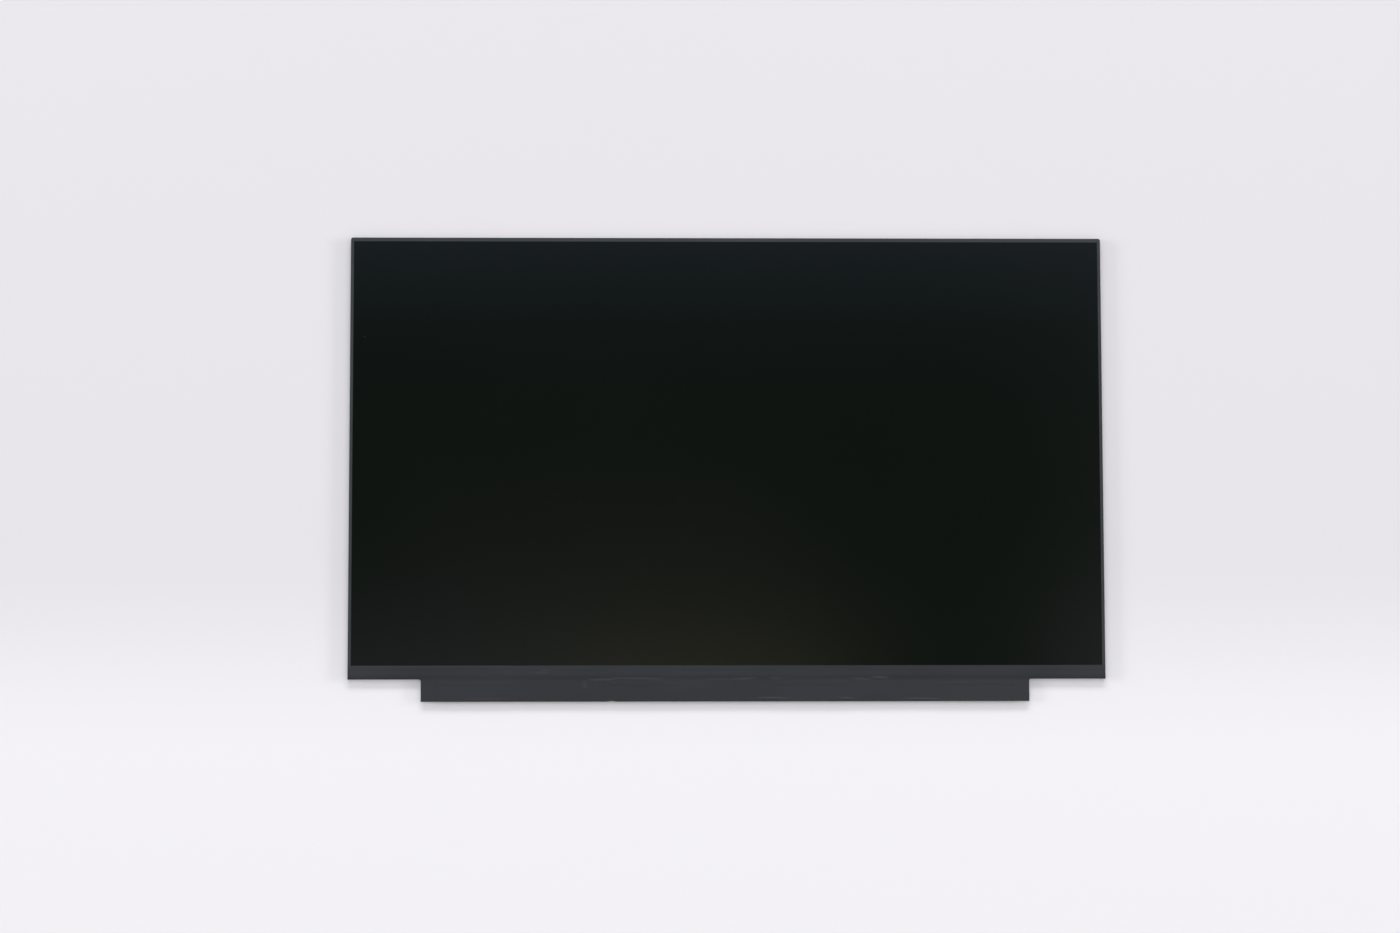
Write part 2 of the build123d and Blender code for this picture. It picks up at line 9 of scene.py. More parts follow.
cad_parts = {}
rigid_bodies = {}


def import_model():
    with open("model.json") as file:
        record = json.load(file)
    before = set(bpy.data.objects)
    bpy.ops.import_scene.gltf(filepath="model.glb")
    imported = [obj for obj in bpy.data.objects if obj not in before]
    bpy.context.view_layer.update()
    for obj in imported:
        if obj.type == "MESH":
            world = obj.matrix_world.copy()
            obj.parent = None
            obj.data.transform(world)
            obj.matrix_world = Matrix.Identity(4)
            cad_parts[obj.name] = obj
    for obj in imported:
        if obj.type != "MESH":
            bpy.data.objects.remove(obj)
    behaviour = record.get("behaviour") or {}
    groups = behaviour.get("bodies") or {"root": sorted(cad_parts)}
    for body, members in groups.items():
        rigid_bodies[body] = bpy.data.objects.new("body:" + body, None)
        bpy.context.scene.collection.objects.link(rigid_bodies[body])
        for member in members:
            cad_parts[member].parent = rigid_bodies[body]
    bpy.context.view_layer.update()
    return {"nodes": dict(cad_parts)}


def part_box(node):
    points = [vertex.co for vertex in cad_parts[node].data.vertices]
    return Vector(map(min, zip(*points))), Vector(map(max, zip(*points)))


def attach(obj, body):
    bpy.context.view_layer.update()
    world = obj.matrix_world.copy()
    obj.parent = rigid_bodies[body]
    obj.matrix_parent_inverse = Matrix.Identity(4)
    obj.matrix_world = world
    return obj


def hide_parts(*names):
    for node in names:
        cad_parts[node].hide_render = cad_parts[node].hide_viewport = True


for spare in list(bpy.data.objects):
    bpy.data.objects.remove(spare)
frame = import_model()

MM = 0.001
same_place = 1e-7
crisp_angle = math.radians(35)

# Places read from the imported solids
source_places = range(1, 5)
screen_low, screen_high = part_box("front_polariser")
glass_low, glass_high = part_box("colour_filter_glass")
board_low, board_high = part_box("control_board")
cover_low, cover_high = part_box("cover_tape")
side_low, side_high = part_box("right_edge_tape")
top_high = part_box("top_edge_tape")[1]
tail_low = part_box("led_flex")[0]
flex_boxes = [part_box(f"source_flex_{place}") for place in source_places]
driver_boxes = [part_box(f"source_driver_{place}") for place in source_places]

# Tapes
edge_tape_sheet = 0.06 * MM
cover_tape_sheet = 0.10 * MM
lap_gap = 0.10 * MM
front_bend = 0.28 * MM
rear_bend = 0.61 * MM
outline_corner = 1.01 * MM
rear_lap = 3.5 * MM
side_front_lap = side_high.x - screen_high.x - lap_gap
top_front_lap = top_high.y - screen_high.y - lap_gap

# Tab and notches below the body. The cover tape reaches a little past the board's ends.
tape_past_board = 0.20 * MM
tab_left = board_low.x - tape_past_board
tab_right = board_high.x + tape_past_board
notch_y = side_low.y
notch_radius = 0.8 * MM


# Shader expressions
class Value:
    """A socket that carries a number over a surface. Arithmetic on it adds Math nodes."""

    def __init__(self, finish, socket):
        self.finish = finish
        self.socket = socket

    def __add__(self, other):
        return self.finish.math("ADD", self, other)

    def __sub__(self, other):
        return self.finish.math("SUBTRACT", self, other)

    def __rsub__(self, other):
        return self.finish.math("SUBTRACT", other, self)

    def __mul__(self, other):
        return self.finish.math("MULTIPLY", self, other)

    def __truediv__(self, other):
        return self.finish.math("DIVIDE", self, other)

    def __mod__(self, other):
        return self.finish.math("FLOORED_MODULO", self, other)

    def __gt__(self, other):
        return self.finish.math("GREATER_THAN", self, other)

    def __lt__(self, other):
        return self.finish.math("LESS_THAN", self, other)

    def __abs__(self):
        return self.finish.math("ABSOLUTE", self)

    def __floor__(self):
        return self.finish.math("FLOOR", self)

    __radd__ = __add__
    __rmul__ = __mul__


class Finish:
    """A procedural material: its shader, the sockets that are the same all over, and the varying nodes."""

    def __init__(self, name, fixed):
        self.material = bpy.data.materials.new(name)
        self.material.use_nodes = True
        self.tree = self.material.node_tree
        self.shader = self.tree.nodes["Principled BSDF"]
        for socket, value in fixed.items():
            self.shader.inputs[socket].default_value = value
        self.place = self.node("ShaderNodeTexCoord", {}, {}, "Object")

    def node(self, kind, settings, sockets, output=0):
        """Any node: its settings are set first, then the values or links of its sockets."""
        made = self.tree.nodes.new(kind)
        for name, value in settings.items():
            setattr(made, name, value)
        for name, value in sockets.items():
            if isinstance(value, Value):
                self.tree.links.new(value.socket, made.inputs[name])
            else:
                made.inputs[name].default_value = value
        return Value(self, made.outputs[output])

    def math(self, operation, *values):
        return self.node("ShaderNodeMath", {"operation": operation}, dict(enumerate(values)))

    def axes(self, vector):
        split = self.node("ShaderNodeSeparateXYZ", {}, {0: vector}).socket.node
        return [Value(self, socket) for socket in split.outputs]

    def facing(self):
        return self.axes(self.node("ShaderNodeNewGeometry", {}, {}, "Normal"))

    def cloud(self, size, detail=2.0, stretch=(1, 1, 1)):
        """Soft random patches about as large as size, drawn out along each axis by its stretch."""
        spread = [1 / (size * factor) for factor in stretch]
        place = self.node("ShaderNodeMapping", {}, {"Vector": self.place, "Scale": spread})
        return self.node("ShaderNodeTexNoise", {}, {"Vector": place, "Scale": 1.0, "Detail": detail})

    def dots(self, pitch):
        """Distance to the nearest of random points about a pitch apart, as a share of the pitch."""
        return self.node("ShaderNodeTexVoronoi", {}, {"Vector": self.place, "Scale": 1 / pitch}, "Distance")

    def ease(self, value, low, high):
        """0 below low, 1 above high and smooth between, also where low is the higher one."""
        limits = {"Value": value, "From Min": low, "From Max": high}
        return self.node("ShaderNodeMapRange", {"interpolation_type": "SMOOTHSTEP"}, limits)

    def blend(self, mask, low, high):
        """One colour where the mask is 0 and the other where it is 1."""
        return self.node("ShaderNodeMix", {"data_type": "RGBA"}, {0: mask, 6: low, 7: high}, 2)

    def feed(self, **values):
        """Links what varies to the shader: colour or roughness."""
        names = {"colour": "Base Color", "roughness": "Roughness"}
        for name, value in values.items():
            self.tree.links.new(value.socket, self.shader.inputs[names[name]])

    def relief(self, height, depth):
        """Bump of that depth where the height goes from 0 to 1. Gives the finished material."""
        bump = self.node("ShaderNodeBump", {}, {"Height": height, "Distance": depth}, "Normal")
        self.tree.links.new(bump.socket, self.shader.inputs["Normal"])
        return self.material


def rgb(red, green, blue):
    return (red, green, blue, 1.0)


# Finishes of the front
def matte_screen():
    """Anti-glare polariser over the dark cell: near black, a little green, with a fine sparkle grain."""
    finish = Finish("matte_screen", {"Specular IOR Level": 0.07})
    patches = finish.cloud(60 * MM)
    grain = finish.cloud(0.09 * MM, detail=1.0)
    colour = finish.blend(patches, rgb(0.0008, 0.0030, 0.0012), rgb(0.0016, 0.0040, 0.0020))
    x, y = finish.axes(finish.place)[:2]
    fleck_x, fleck_y, fleck_size = -168.6 * MM, 61.5 * MM, 0.22 * MM
    away = finish.math("SQRT", (x - fleck_x) * (x - fleck_x) + (y - fleck_y) * (y - fleck_y))
    fleck = 1 - finish.ease(away, low=fleck_size / 2, high=fleck_size)
    colour = finish.blend(fleck, colour, rgb(0.10, 0.10, 0.10))
    finish.feed(colour=colour, roughness=0.15 + 0.03 * grain)
    return finish.relief(grain, depth=0.0004 * MM)


def black_film(name, dark, light, painted_crease_highlight):
    """Matte black polyester tape: clouded, with a fine drawn grain, and where asked a painted highlight
    that makes its creases paler.
    """
    finish = Finish(name, {"Specular IOR Level": 0.20})
    patches = finish.cloud(14 * MM, detail=3.0, stretch=(3, 1, 1))
    grain = finish.cloud(0.35 * MM, stretch=(2, 1, 1))
    colour = finish.blend(finish.ease(patches, low=0.3, high=0.7), dark, light)
    if painted_crease_highlight:
        # Painted highlight: the crease attribute lightens the film where its creases, lifted edge and nick
        # catch the light, and also holds a paler tone towards its ends.
        crease = finish.node("ShaderNodeAttribute", {"attribute_name": "crease"}, {}, "Fac")
        colour = finish.blend(0.7 * crease, colour, rgb(0.065, 0.068, 0.075))
    finish.feed(colour=colour, roughness=0.44 + 0.16 * grain)
    return finish.relief(grain, depth=0.004 * MM)


# Finishes of the rear
def rolled_aluminium():
    """Satin aluminium sheet with its rolling lines along the panel's width."""
    finish = Finish("rolled_aluminium", {"Metallic": 1.0})
    lines = finish.cloud(0.5 * MM, detail=3.0, stretch=(60, 1, 1))
    patches = finish.cloud(40 * MM, detail=3.0)
    colour = finish.blend(patches, rgb(0.60, 0.61, 0.62), rgb(0.72, 0.73, 0.74))
    finish.feed(colour=colour, roughness=0.26 + 0.12 * lines + 0.08 * patches)
    return finish.relief(lines, depth=0.003 * MM)


def bright_metal(name, dark, light, polish):
    """Plated or soldered metal, mottled where it cooled or was wiped."""
    finish = Finish(name, {"Metallic": 1.0})
    mottle = finish.cloud(0.6 * MM, detail=3.0)
    fine = finish.cloud(0.12 * MM)
    finish.feed(colour=finish.blend(mottle, dark, light), roughness=polish + 0.14 * fine)
    return finish.relief(mottle, depth=0.01 * MM)


def solder_mask():
    """Green board: tracks and vias show under the mask, and the cut edge shows the glass laminate."""
    finish = Finish("solder_mask", {"Specular IOR Level": 0.45})
    x, y = finish.axes(finish.place)[:2]
    track_pitch, track_run, run_shift, bare_share = 0.55 * MM, 9 * MM, 0.37, 0.42
    lane = math.floor(y / track_pitch)
    stretch = math.floor(x / track_run + run_shift * lane)
    cell = finish.node("ShaderNodeCombineXYZ", {}, {0: stretch, 1: lane})
    chance = finish.node("ShaderNodeTexWhiteNoise", {"noise_dimensions": "2D"}, {"Vector": cell})
    across = abs((y / track_pitch) % 1.0 - 0.5)
    track = (1 - finish.ease(across, low=0.20, high=0.26)) * (chance > bare_share)
    pour = finish.ease(finish.cloud(9 * MM, detail=1.0, stretch=(2, 1, 1)), low=0.50, high=0.52)
    copper = finish.math("MAXIMUM", track, 0.6 * pour)
    via = 1 - finish.ease(finish.dots(3.1 * MM), low=0.055, high=0.075)
    masked = finish.blend(copper, rgb(0.008, 0.050, 0.022), rgb(0.018, 0.105, 0.048))
    masked = finish.blend(via, masked, rgb(0.10, 0.19, 0.11))
    weave = finish.cloud(0.3 * MM, stretch=(8, 8, 1))
    laminate = finish.blend(weave, rgb(0.30, 0.27, 0.12), rgb(0.42, 0.38, 0.20))
    flat = abs(finish.facing()[2]) > 0.5
    roughness = 0.60 - 0.32 * flat + 0.08 * finish.cloud(4 * MM)
    finish.feed(colour=finish.blend(flat, laminate, masked), roughness=roughness)
    return finish.relief(copper - 0.5 * via, depth=0.02 * MM)


def mould_compound():
    """Black epoxy of a chip package, with its fine filler grain."""
    finish = Finish("mould_compound", {"Specular IOR Level": 0.4})
    grain = finish.cloud(0.06 * MM)
    patches = finish.cloud(1.5 * MM)
    colour = finish.blend(grain, rgb(0.010, 0.010, 0.011), rgb(0.026, 0.026, 0.028))
    finish.feed(colour=colour, roughness=0.42 + 0.12 * grain + 0.10 * patches)
    return finish.relief(grain, depth=0.006 * MM)


def fired_ceramic():
    """Tan body of a ceramic capacitor, a little darker on some than on others."""
    finish = Finish("fired_ceramic", {"Specular IOR Level": 0.4})
    mottle = finish.cloud(0.25 * MM, detail=3.0)
    each = finish.cloud(2.6 * MM, detail=0.0)
    colour = finish.blend(mottle, rgb(0.27, 0.18, 0.105), rgb(0.40, 0.29, 0.19))
    colour = finish.blend(0.35 * each, colour, rgb(0.20, 0.12, 0.07))
    finish.feed(colour=colour, roughness=0.34 + 0.18 * mottle)
    return finish.relief(mottle, depth=0.008 * MM)


def resistor_body():
    """White alumina chip with a black glaze on its upper face."""
    finish = Finish("resistor_body", {"Specular IOR Level": 0.5})
    mottle = finish.cloud(0.2 * MM, detail=3.0)
    glazed = finish.facing()[2] < -0.6
    alumina = finish.blend(mottle, rgb(0.62, 0.61, 0.58), rgb(0.76, 0.75, 0.72))
    glaze = finish.blend(mottle, rgb(0.010, 0.010, 0.011), rgb(0.022, 0.022, 0.024))
    roughness = 0.5 - 0.25 * glazed + 0.1 * mottle
    finish.feed(colour=finish.blend(glazed, alumina, glaze), roughness=roughness)
    return finish.relief(mottle, depth=0.006 * MM)


def powder_core():
    """Grey pressed iron powder of a moulded coil."""
    finish = Finish("powder_core", {"Specular IOR Level": 0.35})
    grain = finish.cloud(0.10 * MM, detail=3.0)
    patches = finish.cloud(1.2 * MM)
    colour = finish.blend(grain, rgb(0.050, 0.050, 0.054), rgb(0.125, 0.124, 0.128))
    finish.feed(colour=colour, roughness=0.55 + 0.15 * grain + 0.1 * patches)
    return finish.relief(grain, depth=0.02 * MM)


def moulded_plastic(name, dark, light):
    """Fine-textured moulded plastic."""
    finish = Finish(name, {"Specular IOR Level": 0.4})
    grain = finish.cloud(0.12 * MM)
    patches = finish.cloud(12 * MM)
    finish.feed(colour=finish.blend(patches, dark, light), roughness=0.42 + 0.15 * grain)
    return finish.relief(grain, depth=0.008 * MM)


def circuit_film():
    """Amber circuit film with fine copper lines along Y under its cover layer."""
    finish = Finish("circuit_film", {"Specular IOR Level": 0.45})
    x = finish.axes(finish.place)[0]
    line_pitch = 0.42 * MM
    line = 1 - finish.ease(abs((x / line_pitch) % 1.0 - 0.5), low=0.22, high=0.28)
    mottle = finish.cloud(1.5 * MM, detail=3.0)
    film = finish.blend(mottle, rgb(0.30, 0.125, 0.018), rgb(0.40, 0.175, 0.03))
    colour = finish.blend(line, film, rgb(0.52, 0.23, 0.07))
    finish.feed(colour=colour, roughness=0.28 + 0.14 * mottle)
    return finish.relief(line, depth=0.012 * MM)


# Finishes of the inner stack
def optical_film(name, dark, light, pitch):
    """Thin white or clear sheet with fine beads on its face."""
    finish = Finish(name, {"Specular IOR Level": 0.5})
    beads = finish.dots(pitch)
    haze = finish.cloud(30 * MM)
    finish.feed(colour=finish.blend(haze, dark, light), roughness=0.24 + 0.2 * beads)
    return finish.relief(beads, depth=0.01 * MM)


def cell_glass():
    """Thin glass of the cell: black behind its face, grey-green at its cut edges, with ground streaks."""
    finish = Finish("cell_glass", {"Specular IOR Level": 0.2})
    ground = finish.cloud(0.4 * MM, stretch=(6, 6, 0.4))
    edge = 1 - (abs(finish.facing()[2]) > 0.5)
    colour = finish.blend(edge * ground, rgb(0.006, 0.008, 0.008), rgb(0.10, 0.14, 0.125))
    finish.feed(colour=colour, roughness=0.20 + 0.3 * edge * ground)
    return finish.relief(edge * ground, depth=0.01 * MM)


def bare_silicon():
    """Polished bare chip, blue-grey."""
    finish = Finish("bare_silicon", {"Specular IOR Level": 0.8})
    wipe = finish.cloud(1.0 * MM, stretch=(5, 1, 1))
    colour = finish.blend(wipe, rgb(0.05, 0.05, 0.065), rgb(0.11, 0.11, 0.13))
    finish.feed(colour=colour, roughness=0.12 + 0.12 * wipe)
    return finish.relief(wipe, depth=0.001 * MM)


def light_source():
    """Small diode: white body with a yellow window in the face towards the light guide."""
    finish = Finish("light_source", {"Specular IOR Level": 0.5})
    mottle = finish.cloud(0.3 * MM, detail=3.0)
    window = finish.facing()[1] > 0.6
    body = finish.blend(mottle, rgb(0.72, 0.72, 0.70), rgb(0.82, 0.82, 0.80))
    phosphor = finish.blend(mottle, rgb(0.72, 0.58, 0.08), rgb(0.82, 0.70, 0.16))
    finish.feed(colour=finish.blend(window, body, phosphor), roughness=0.35 + 0.2 * mottle)
    return finish.relief(mottle, depth=0.006 * MM)


screen_finish = matte_screen()
cover_finish = black_film("cover_film", rgb(0.0282, 0.0306, 0.0344), rgb(0.0322, 0.0346, 0.0394), True)
edge_finish = black_film("edge_film", rgb(0.039, 0.045, 0.044), rgb(0.045, 0.052, 0.051), False)
bond_finish = black_film("bond_film", rgb(0.020, 0.020, 0.022), rgb(0.028, 0.028, 0.030), False)
plate_finish = rolled_aluminium()
tin_finish = bright_metal("tinned_metal", rgb(0.60, 0.60, 0.58), rgb(0.74, 0.74, 0.72), 0.24)
gold_finish = bright_metal("gold_plate", rgb(0.78, 0.55, 0.20), rgb(0.88, 0.66, 0.28), 0.18)
nickel_finish = bright_metal("nickel_plate", rgb(0.54, 0.52, 0.48), rgb(0.66, 0.64, 0.60), 0.22)
board_finish = solder_mask()
package_finish = mould_compound()
ceramic_finish = fired_ceramic()
resistor_finish = resistor_body()
core_finish = powder_core()
socket_finish = moulded_plastic("socket_moulding", rgb(0.028, 0.028, 0.029), rgb(0.040, 0.040, 0.041))
frame_finish = moulded_plastic("frame_moulding", rgb(0.024, 0.024, 0.026), rgb(0.034, 0.034, 0.037))
flex_finish = circuit_film()
glass_finish = cell_glass()
silicon_finish = bare_silicon()
diode_finish = light_source()
reflector_finish = optical_film("reflector_film", rgb(0.80, 0.81, 0.82), rgb(0.86, 0.87, 0.88), 0.05 * MM)
guide_finish = optical_film("guide_acrylic", rgb(0.70, 0.75, 0.75), rgb(0.78, 0.82, 0.82), 0.4 * MM)
film_finish = optical_film("diffusing_film", rgb(0.74, 0.76, 0.77), rgb(0.82, 0.84, 0.85), 0.06 * MM)


# Smooth curves
def ease(value, low, high):
    """0 below low, 1 above high and smooth between, also where low is the higher one."""
    share = min(1.0, max(0.0, (value - low) / (high - low)))
    return share * share * (3 - 2 * share)


def bent(value, low, high):
    """0 up to low, then curving away to 1 at high."""
    return min(1.0, max(0.0, (value - low) / (high - low))) ** 2


def hump(away, width):
    """1 in the middle of a ridge, and nearly 0 two widths away."""
    return math.exp(-(away / width) ** 2)


# Mesh helpers
def settle(name, bm, finishes, slot, *stands_for):
    """Makes the mesh a piece that rides on the panel, and hides the solids that it stands for."""
    mesh = bpy.data.meshes.new(name)
    bm.to_mesh(mesh)
    bm.free()
    for finish in finishes:
        mesh.materials.append(finish)
    mesh.polygons.foreach_set("use_smooth", [True] * len(mesh.polygons))
    mesh.set_sharp_from_angle(angle=crisp_angle)
    piece = bpy.data.objects.new(name, mesh)
    bpy.context.scene.collection.objects.link(piece)
    even = piece.modifiers.new("even_normals", "WEIGHTED_NORMAL")
    even.keep_sharp = True
    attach(piece, "root")
    if stands_for:
        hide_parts(*stands_for)


def edges_of(verts):
    """Every edge that ends at one of the verts, once each."""
    return list(dict.fromkeys(edge for vert in verts for edge in vert.link_edges))


def round_off(bm, edges, radius, steps):
    bmesh.ops.bevel(bm, geom=edges, offset=radius, segments=steps, profile=0.5, affect="EDGES", material=-1)


def sharp_box(bm, low, high):
    """A box between two corners. Gives its verts."""
    verts = bmesh.ops.create_cube(bm, size=1.0)["verts"]
    bmesh.ops.scale(bm, vec=high - low, verts=verts)
    bmesh.ops.translate(bm, vec=(low + high) / 2, verts=verts)
    return verts


def block(bm, low, high, rounding, steps=1, finish=0):
    """A box between two corners, with its edges rounded. Gives its faces."""
    before = set(bm.faces)
    round_off(bm, edges_of(sharp_box(bm, low, high)), rounding, steps)
    fresh = [face for face in bm.faces if face not in before]
    for face in fresh:
        face.material_index = finish
    return fresh


def stretched(low, high, axis, one_end, other_end):
    """The corners of the same box, made to reach between two ends along an axis."""
    low, high = low.copy(), high.copy()
    low[axis], high[axis] = sorted((one_end, other_end))
    return low, high


def cut_across(bm, geometry, axis, place):
    """Cuts the geometry by a plane across the axis. Gives the geometry with its new parts."""
    across = Vector((0, 0, 0))
    across[axis] = 1
    plane = {"plane_co": across * place, "plane_no": across}
    return bmesh.ops.bisect_plane(bm, geom=geometry, dist=same_place, **plane)["geom"]


def slices(bm, axis, places):
    """Cuts every face where planes across the axis stand at the places."""
    for place in places:
        cut_across(bm, bm.verts[:] + bm.edges[:] + bm.faces[:], axis, place)


def spaced(low, high, step):
    """Places about a step apart between low and high, without the ends."""
    count = round((high - low) / step)
    return [low + (high - low) * place / count for place in range(1, count)]


def solid_boxes(node):
    """Lowest and highest corner of each separate solid in a node, from left to right."""
    bm = bmesh.new()
    bm.from_mesh(frame["nodes"][node].data)
    bmesh.ops.remove_doubles(bm, verts=bm.verts[:], dist=10 * same_place)
    waiting = set(bm.verts)
    boxes = []
    while waiting:
        front = [waiting.pop()]
        solid = list(front)
        while front:
            vert = front.pop()
            reached = {edge.other_vert(vert) for edge in vert.link_edges} & waiting
            waiting -= reached
            front += reached
            solid += reached
        low = Vector([min(vert.co[axis] for vert in solid) for axis in range(3)])
        high = Vector([max(vert.co[axis] for vert in solid) for axis in range(3)])
        boxes.append((low, high))
    bm.free()
    return sorted(boxes, key=lambda box: (round(box[0].x, 6), round(box[0].y, 6)))


# Screen face
def make_screen():
    """The polariser sheet, with the thin rounded edge that its die leaves."""
    die_edge = 0.035 * MM
    bm = bmesh.new()
    block(bm, screen_low, screen_high, die_edge, steps=2)
    settle("screen_face", bm, [screen_finish], "polariser", "front_polariser")


# Cover tape: how it lies. Each slope is given by where it starts and ends.
glass_slope = (driver_boxes[0][0].y - 0.4 * MM, board_high.y - 0.2 * MM)
flex_slope = (flex_boxes[0][0].y - 0.9 * MM, flex_boxes[0][0].y - 0.2 * MM)
sag_slope = (glass_low.y + 0.4 * MM, glass_low.y - 0.6 * MM)
flex_rise = flex_boxes[0][1].z - board_high.z
flex_margin = 1.5 * MM
chip_margin = 2.5 * MM
ledge_sag = 0.09 * MM
board_droop = 0.40 * MM
ledge_droop = 0.12 * MM

# Cover tape: creases. Left end, right end, place above their edge, sway, height and width, in millimetres.
glass_edge_creases = [
    (-64.2, -47.2, -0.15, -0.30, 0.050, 0.42),
    (-51.2, -28.8, 0.05, 0.12, 0.045, 0.42),
    (-10.8, 3.4, -0.35, 0.10, 0.025, 0.42),
    (1.8, 13.2, 0.00, -0.16, 0.050, 0.42),
    (19.2, 25.2, 0.10, 0.05, 0.040, 0.42),
    (48.2, 55.2, -0.75, 0.15, 0.025, 0.42),
    (57.0, 66.0, -0.25, 0.20, 0.045, 0.42),
    (66.4, 75.0, 0.45, 0.10, 0.075, 0.42),
]
lower_edge_creases = [
    (-122.0, -97.6, 1.15, 0.05, 0.030, 0.30),
    (13.6, 28.0, 1.45, 0.06, 0.130, 0.30),
    (51.8, 58.0, 1.40, 0.05, 0.090, 0.28),
    (81.6, 99.0, 1.05, 0.08, 0.120, 0.32),
]
upper_edge_creases = [
    (-86.6, -82.4, -2.3, 0.05, 0.040, 0.36),
    (-88.6, -82.8, -3.4, 0.08, 0.035, 0.36),
]
crease_rows = (
    (glass_edge_creases, notch_y),
    (lower_edge_creases, cover_low.y),
    (upper_edge_creases, cover_high.y),
)
full_crease = 0.07 * MM
end_fade = 0.4
# Painted highlight: it sits this share of a crease's width above each ridge, on the side where the light
# falls.
highlight_shift = 0.6
slow_swing = 1.7 * math.pi
quick_swing = 4.3 * math.pi

# Cover tape: the crease up the tab, the lifted upper edge and the nick in the lower edge, each also made
# paler by a painted highlight
upright_x, upright_width, upright_rise, upright_highlight = -66.0 * MM, 0.7 * MM, 0.035 * MM, 0.5
curl_rise, curl_highlight = 0.03 * MM, 0.9
nick_x, nick_width, nick_depth, nick_rise = -53.5 * MM, 1.1 * MM, 0.35 * MM, 0.06 * MM


def over_any(x, boxes, margin):
    """1 over one of the boxes along X, 0 clear of them all and smooth between."""
    return max(ease(x, low.x - margin, low.x) * ease(x, high.x + margin, high.x) for low, high in boxes)


def drape(x, y):
    """Under-face of the cover tape: from the ledge's glass, past the chips, down to flexes and board."""
    off_glass = ease(y, *glass_slope)
    on_flex = over_any(x, flex_boxes, flex_margin) * ease(y, *flex_slope)
    between_chips = 1 - over_any(x, driver_boxes, chip_margin)
    fall = glass_high.z - board_high.z - flex_rise * on_flex
    return glass_high.z - fall * off_glass - ledge_sag * between_chips * ease(y, *sag_slope)


def crease_at(x, y):
    """Height of the creases at a place, and how strongly the painted highlight along the nearest one shows,
    0 to 1.
    """
    height = crease_highlight = 0.0
    for creases, base in crease_rows:
        for start, end, above, sway, rise, width in creases:
            along = (x / MM - start) / (end - start)
            if 0 < along < 1:
                swing = math.sin(slow_swing * along) + 0.5 * math.sin(quick_swing * along)
                ridge_y = base + (above + sway * swing) * MM
                highlight_y = ridge_y + highlight_shift * width * MM
                fade = math.sin(math.pi * along) ** end_fade
                strength = min(1.0, rise * MM / full_crease) * fade
                height += rise * MM * fade * hump(y - ridge_y, width * MM)
                crease_highlight = max(crease_highlight, strength * hump(y - highlight_y, width * MM))
    return height, crease_highlight


def upright_at(x, y):
    """How much of the crease that runs up the tab is at a place, 0 to 1."""
    above_foot = ease(y, notch_y - 5.2 * MM, notch_y - 3.8 * MM)
    below_head = ease(y, notch_y - 0.2 * MM, notch_y - 1.4 * MM)
    return hump(x - upright_x, upright_width) * above_foot * below_head


def curl_at(x, y):
    """How far the upper edge has lifted, which it has at its left end, 0 to 1."""
    return ease(y, cover_high.y - 0.5 * MM, cover_high.y) * ease(x, -95 * MM, -104 * MM)


def nick_at(x, y):
    """How much of the nick in the lower edge is at a place, 0 to 1."""
    return hump(x - nick_x, nick_width) * ease(y, cover_low.y + 1.2 * MM, cover_low.y)


def waves_at(x, y):
    """Height of the tape's own slight waves, short and long."""
    short_rise, long_rise = 0.007 * MM, 0.010 * MM
    short_wave = noise.noise(Vector((x / (9 * MM), y / (3.5 * MM), 0.0)))
    long_wave = noise.noise(Vector((x / (31 * MM), y / (8 * MM), 7.0)))
    return short_rise * short_wave + long_rise * long_wave


def paleness_at(x, y):
    """How much paler the film is drawn: more towards both ends, and towards the right on the tab."""
    end_paleness, tab_paleness = 0.24, 0.20
    on_tab = ease(y, notch_y + 1.0 * MM, notch_y - 1.5 * MM)
    return end_paleness * ease(abs(x), 145 * MM, 172 * MM) + tab_paleness * ease(x, 55 * MM, 125 * MM) * on_tab


def droop(x, y):
    """How far the tape hangs at its free edges: bent down round the board, and a little below the body."""
    past_end = max(bent(x, board_low.x, tab_left), bent(x, board_high.x, tab_right))
    past_edge = bent(y, board_low.y, cover_low.y)
    round_board = max(past_edge, past_end * ease(y, notch_y, notch_y - notch_radius))
    below_body = past_end * ease(y, notch_y + 0.3 * MM, notch_y)
    return max(board_droop * round_board, ledge_droop * below_body)


def flat_cover():
    """The cover tape's outline as one flat face with rounded inner corners, cut finely enough to drape."""
    bend_step, edge_step, crease_step, long_step = 0.05 * MM, 0.12 * MM, 0.28 * MM, 0.9 * MM
    edge_top = board_low.y + 2 * MM
    left, right, top, bottom = cover_low.x, cover_high.x, cover_high.y, cover_low.y
    outline = [
        (left, notch_y), (tab_left, notch_y), (tab_left, bottom), (tab_right, bottom),
        (tab_right, notch_y), (right, notch_y), (right, top), (left, top),
    ]
    bm = bmesh.new()
    corners = [bm.verts.new((x, y, 0)) for x, y in outline]
    bm.faces.new(corners)
    bmesh.ops.bevel(bm, geom=[corners[1], corners[4]], offset=notch_radius, segments=5, profile=0.5,
                    affect="VERTICES", material=-1)
    slices(bm, 1, spaced(bottom, board_low.y, bend_step))
    slices(bm, 1, spaced(board_low.y, edge_top, edge_step) + [board_low.y])
    slices(bm, 1, spaced(edge_top, top, crease_step))
    slices(bm, 0, spaced(tab_left, board_low.x, bend_step) + [board_low.x])
    slices(bm, 0, spaced(board_low.x, board_high.x, long_step) + [board_high.x])
    slices(bm, 0, spaced(board_high.x, tab_right, bend_step))
    slices(bm, 0, spaced(left, tab_left, long_step) + spaced(tab_right, right, long_step))
    return bm


